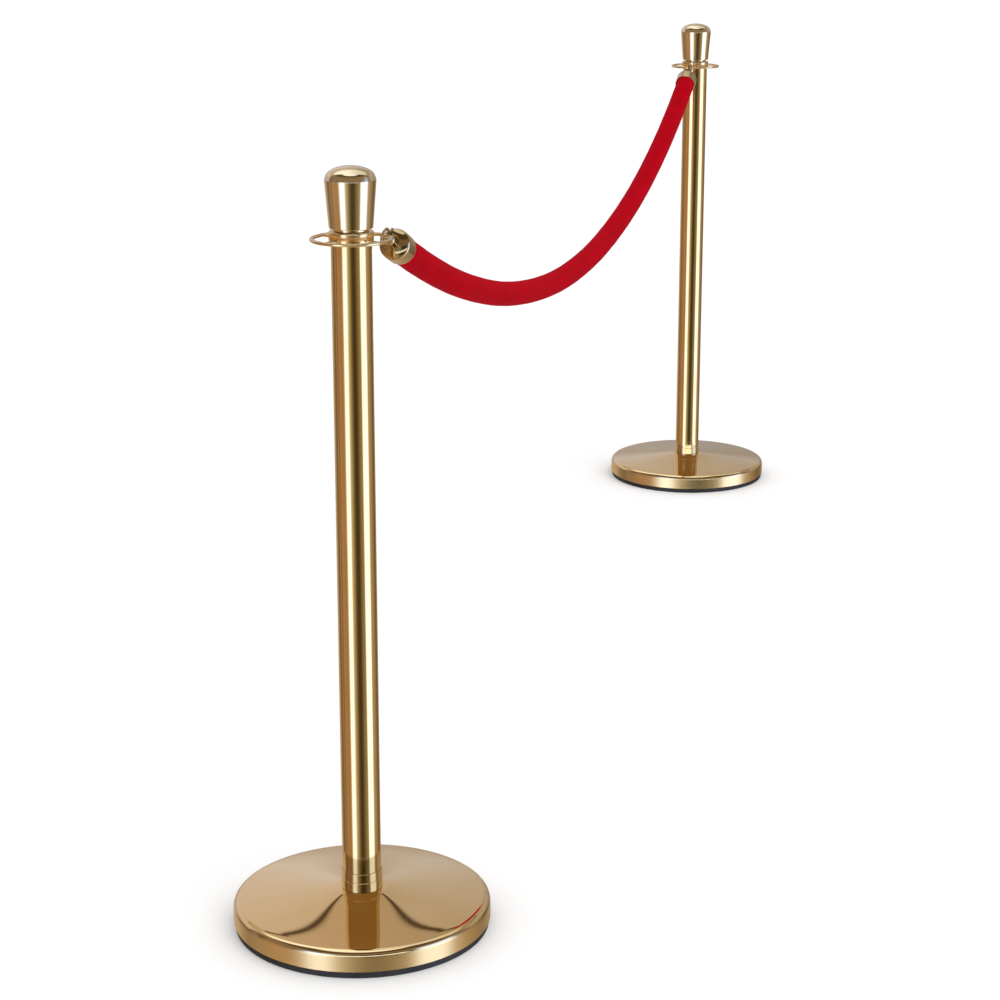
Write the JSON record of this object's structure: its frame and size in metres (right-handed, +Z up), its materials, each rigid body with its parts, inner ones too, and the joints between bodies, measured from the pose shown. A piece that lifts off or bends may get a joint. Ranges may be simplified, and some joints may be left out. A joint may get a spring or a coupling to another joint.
{
  "type": "rope barrier stanchion set",
  "caption": "Two polished gold rope stanchions with crown heads, slotted hook rings and weighted round bases, joined by a red velvet rope on snap hooks.",
  "frame": {"origin": "on the floor, midway between the axes of the two posts", "axes": "+Z up, +X from the near post to the far post, +Y across the line of the barrier"},
  "size_m": [2.57, 0.32, 0.945],
  "materials": {
    "polished_gold": "mirror polished",
    "satin_gold": "satin",
    "dark_brass": "darkened",
    "cast_iron": "painted casting",
    "zinc_steel": "zinc plated",
    "black_rubber": "matt",
    "red_velvet": "velvet pile",
    "core_foam": "cotton and foam core"
  },
  "bodies": {
    "posts": {"near_rubber_foot": "black_rubber", "near_base_weight": "cast_iron", "near_base_cover": "polished_gold", "near_rod_washer": "zinc_steel", "near_rod_nut": "zinc_steel", "near_tie_rod": "zinc_steel", "near_tube_foot_plug": "zinc_steel", "near_tube": "polished_gold", "near_foot_collar": "satin_gold", "near_tube_top_plug": "zinc_steel", "near_hook_ring": "polished_gold", "near_head_stud": "zinc_steel", "near_crown_head": "polished_gold", "far_rubber_foot": "black_rubber", "far_base_weight": "cast_iron", "far_base_cover": "polished_gold", "far_rod_washer": "zinc_steel", "far_rod_nut": "zinc_steel", "far_tie_rod": "zinc_steel", "far_tube_foot_plug": "zinc_steel", "far_tube": "polished_gold", "far_foot_collar": "satin_gold", "far_tube_top_plug": "zinc_steel", "far_hook_ring": "polished_gold", "far_head_stud": "zinc_steel", "far_crown_head": "polished_gold"},
    "rope": {"velvet_sleeve": "red_velvet", "rope_core": "core_foam", "near_ferrule": "polished_gold", "far_ferrule": "polished_gold", "near_swivel_stud": "zinc_steel", "far_swivel_stud": "zinc_steel"},
    "near_hook": {"near_snap_hook": "polished_gold", "near_gate_pin": "zinc_steel", "near_gate_spring": "zinc_steel"},
    "far_hook": {"far_snap_hook": "polished_gold", "far_gate_pin": "zinc_steel", "far_gate_spring": "zinc_steel"},
    "near_gate": {"near_hook_gate": "dark_brass"},
    "far_gate": {"far_hook_gate": "dark_brass"}
  },
  "joints": [
    {"name": "rope_swing", "type": "hinge", "parent": "posts", "child": "rope", "pos_m": [-1.09168, -0.02796, 0.861], "axis": [0.9999, 0.0129, 0], "range_deg": [-18, 18]},
    {"name": "near_hook_swivel", "type": "hinge", "parent": "rope", "child": "near_hook", "pos_m": [-1.08731, -0.02791, 0.85925], "axis": [0.9284, 0.0119, -0.3714], "range_deg": [-10, 10]},
    {"name": "far_hook_swivel", "type": "hinge", "parent": "rope", "child": "far_hook", "pos_m": [1.07612, -0.00007, 0.85885], "axis": [-0.9284, -0.0119, -0.3714], "range_deg": [-15, 15]},
    {"name": "near_gate_open", "type": "hinge", "parent": "near_hook", "child": "near_gate", "pos_m": [-1.0714, -0.02988, 0.85725], "axis": [-0.0963, -0.9576, -0.2715], "range_deg": [0, 26], "stiffness_Nm_per_rad": 0.03, "springref_deg": -17.19},
    {"name": "far_gate_open", "type": "hinge", "parent": "far_hook", "child": "far_gate", "pos_m": [1.06004, 0.00062, 0.85727], "axis": [-0.0129, 0.9999, 0], "range_deg": [0, 26], "stiffness_Nm_per_rad": 0.03, "springref_deg": -17.19}
  ]
}
